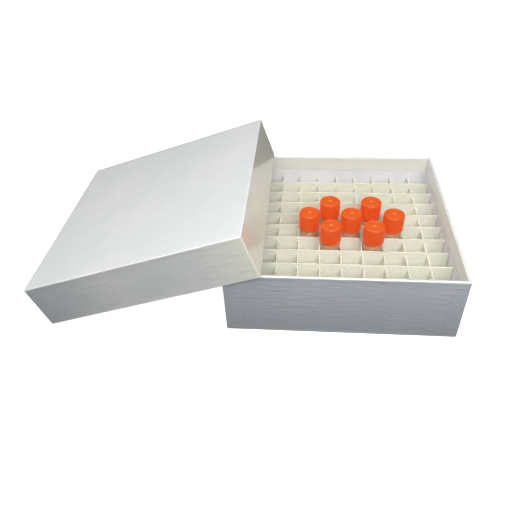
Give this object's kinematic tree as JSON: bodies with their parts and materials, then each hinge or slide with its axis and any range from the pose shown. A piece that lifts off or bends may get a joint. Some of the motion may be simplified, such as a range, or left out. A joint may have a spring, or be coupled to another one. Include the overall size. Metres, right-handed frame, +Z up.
{
  "type": "cryogenic storage box",
  "caption": "Square paper-covered fibreboard freezer box with a lift-off lid leaning on it, a slotted cell partition and screw-cap sample vials.",
  "frame": {"origin": "on the table, under the middle of the base", "axes": "+X right, +Y back, +Z up; the front of the base faces -Y and the lid leans on its -X side"},
  "size_m": [0.2444, 0.1335, 0.0689],
  "materials": {
    "bottom_paper": "matte",
    "greyboard": "matte",
    "stay_tape": "matte",
    "lining_paper": "matte",
    "base_wrap_paper": "satin",
    "lid_wrap_paper": "satin",
    "divider_board": "matte",
    "clear_tube": "gloss",
    "orange_cap": "satin",
    "silicone": "matte"
  },
  "bodies": {
    "base": {"base_bottom_sheet": "bottom_paper", "base_board": "greyboard", "base_corner_stays": "stay_tape", "base_liner": "lining_paper", "base_wrap": "base_wrap_paper"},
    "lid": {"lid_board": "greyboard", "lid_corner_stays": "stay_tape", "lid_liner": "lining_paper", "lid_wrap": "lid_wrap_paper"},
    "divider": {"row_divider_1": "divider_board", "row_divider_2": "divider_board", "row_divider_3": "divider_board", "row_divider_4": "divider_board", "row_divider_5": "divider_board", "row_divider_6": "divider_board", "row_divider_7": "divider_board", "row_divider_8": "divider_board", "row_divider_9": "divider_board", "column_divider_1": "divider_board", "column_divider_2": "divider_board", "column_divider_3": "divider_board", "column_divider_4": "divider_board", "column_divider_5": "divider_board", "column_divider_6": "divider_board", "column_divider_7": "divider_board", "column_divider_8": "divider_board", "column_divider_9": "divider_board"},
    "vial_1": {"vial_1_tube": "clear_tube"},
    "seal_1": {"vial_1_washer": "silicone"},
    "cap_1": {"vial_1_cap": "orange_cap"},
    "vial_2": {"vial_2_tube": "clear_tube"},
    "seal_2": {"vial_2_washer": "silicone"},
    "cap_2": {"vial_2_cap": "orange_cap"},
    "vial_3": {"vial_3_tube": "clear_tube"},
    "seal_3": {"vial_3_washer": "silicone"},
    "cap_3": {"vial_3_cap": "orange_cap"},
    "vial_4": {"vial_4_tube": "clear_tube"},
    "seal_4": {"vial_4_washer": "silicone"},
    "cap_4": {"vial_4_cap": "orange_cap"},
    "vial_5": {"vial_5_tube": "clear_tube"},
    "seal_5": {"vial_5_washer": "silicone"},
    "cap_5": {"vial_5_cap": "orange_cap"},
    "vial_6": {"vial_6_tube": "clear_tube"},
    "seal_6": {"vial_6_washer": "silicone"},
    "cap_6": {"vial_6_cap": "orange_cap"},
    "vial_7": {"vial_7_tube": "clear_tube"},
    "seal_7": {"vial_7_washer": "silicone"},
    "cap_7": {"vial_7_cap": "orange_cap"}
  },
  "joints": [
    {"name": "lid_lift", "type": "slide", "parent": "base", "child": "lid", "axis": [0, 0, 1], "range_m": [0, 0.06]},
    {"name": "divider_lift", "type": "slide", "parent": "base", "child": "divider", "axis": [0, 0, 1], "range_m": [0, 0.01]},
    {"name": "vial_1_lift", "type": "slide", "parent": "divider", "child": "vial_1", "axis": [0, 0, 1], "range_m": [0, 0.045]},
    {"name": "cap_1_rise", "type": "slide", "parent": "vial_1", "child": "seal_1", "axis": [0, 0, 1], "range_m": [0, 0.005]},
    {"name": "cap_1_unscrew", "type": "hinge", "parent": "seal_1", "child": "cap_1", "pos_m": [-0.00598, -0.01932, 0], "axis": [0, 0, 1], "range_deg": [0, 720.1]},
    {"name": "vial_2_lift", "type": "slide", "parent": "divider", "child": "vial_2", "axis": [0, 0, 1], "range_m": [0, 0.045]},
    {"name": "cap_2_rise", "type": "slide", "parent": "vial_2", "child": "seal_2", "axis": [0, 0, 1], "range_m": [0, 0.005]},
    {"name": "cap_2_unscrew", "type": "hinge", "parent": "seal_2", "child": "cap_2", "pos_m": [0.01933, -0.01932, 0], "axis": [0, 0, 1], "range_deg": [0, 720.1]},
    {"name": "vial_3_lift", "type": "slide", "parent": "divider", "child": "vial_3", "axis": [0, 0, 1], "range_m": [0, 0.045]},
    {"name": "cap_3_rise", "type": "slide", "parent": "vial_3", "child": "seal_3", "axis": [0, 0, 1], "range_m": [0, 0.005]},
    {"name": "cap_3_unscrew", "type": "hinge", "parent": "seal_3", "child": "cap_3", "pos_m": [-0.01862, -0.00668, 0], "axis": [0, 0, 1], "range_deg": [0, 720.1]},
    {"name": "vial_4_lift", "type": "slide", "parent": "divider", "child": "vial_4", "axis": [0, 0, 1], "range_m": [0, 0.045]},
    {"name": "cap_4_rise", "type": "slide", "parent": "vial_4", "child": "seal_4", "axis": [0, 0, 1], "range_m": [0, 0.005]},
    {"name": "cap_4_unscrew", "type": "hinge", "parent": "seal_4", "child": "cap_4", "pos_m": [0.00667, -0.00668, 0], "axis": [0, 0, 1], "range_deg": [0, 720.1]},
    {"name": "vial_5_lift", "type": "slide", "parent": "divider", "child": "vial_5", "axis": [0, 0, 1], "range_m": [0, 0.045]},
    {"name": "cap_5_rise", "type": "slide", "parent": "vial_5", "child": "seal_5", "axis": [0, 0, 1], "range_m": [0, 0.005]},
    {"name": "cap_5_unscrew", "type": "hinge", "parent": "seal_5", "child": "cap_5", "pos_m": [0.03198, -0.00668, 0], "axis": [0, 0, 1], "range_deg": [0, 720.1]},
    {"name": "vial_6_lift", "type": "slide", "parent": "divider", "child": "vial_6", "axis": [0, 0, 1], "range_m": [0, 0.045]},
    {"name": "cap_6_rise", "type": "slide", "parent": "vial_6", "child": "seal_6", "axis": [0, 0, 1], "range_m": [0, 0.005]},
    {"name": "cap_6_unscrew", "type": "hinge", "parent": "seal_6", "child": "cap_6", "pos_m": [-0.00598, 0.00597, 0], "axis": [0, 0, 1], "range_deg": [0, 720.1]},
    {"name": "vial_7_lift", "type": "slide", "parent": "divider", "child": "vial_7", "axis": [0, 0, 1], "range_m": [0, 0.045]},
    {"name": "cap_7_rise", "type": "slide", "parent": "vial_7", "child": "seal_7", "axis": [0, 0, 1], "range_m": [0, 0.005]},
    {"name": "cap_7_unscrew", "type": "hinge", "parent": "seal_7", "child": "cap_7", "pos_m": [0.01933, 0.00597, 0], "axis": [0, 0, 1], "range_deg": [0, 720.1]}
  ],
  "couplings": [
    {"joint": "cap_1_unscrew", "follows": "cap_1_rise", "rad_per_m": 2513.3},
    {"joint": "cap_2_unscrew", "follows": "cap_2_rise", "rad_per_m": 2513.3},
    {"joint": "cap_3_unscrew", "follows": "cap_3_rise", "rad_per_m": 2513.3},
    {"joint": "cap_4_unscrew", "follows": "cap_4_rise", "rad_per_m": 2513.3},
    {"joint": "cap_5_unscrew", "follows": "cap_5_rise", "rad_per_m": 2513.3},
    {"joint": "cap_6_unscrew", "follows": "cap_6_rise", "rad_per_m": 2513.3},
    {"joint": "cap_7_unscrew", "follows": "cap_7_rise", "rad_per_m": 2513.3}
  ]
}
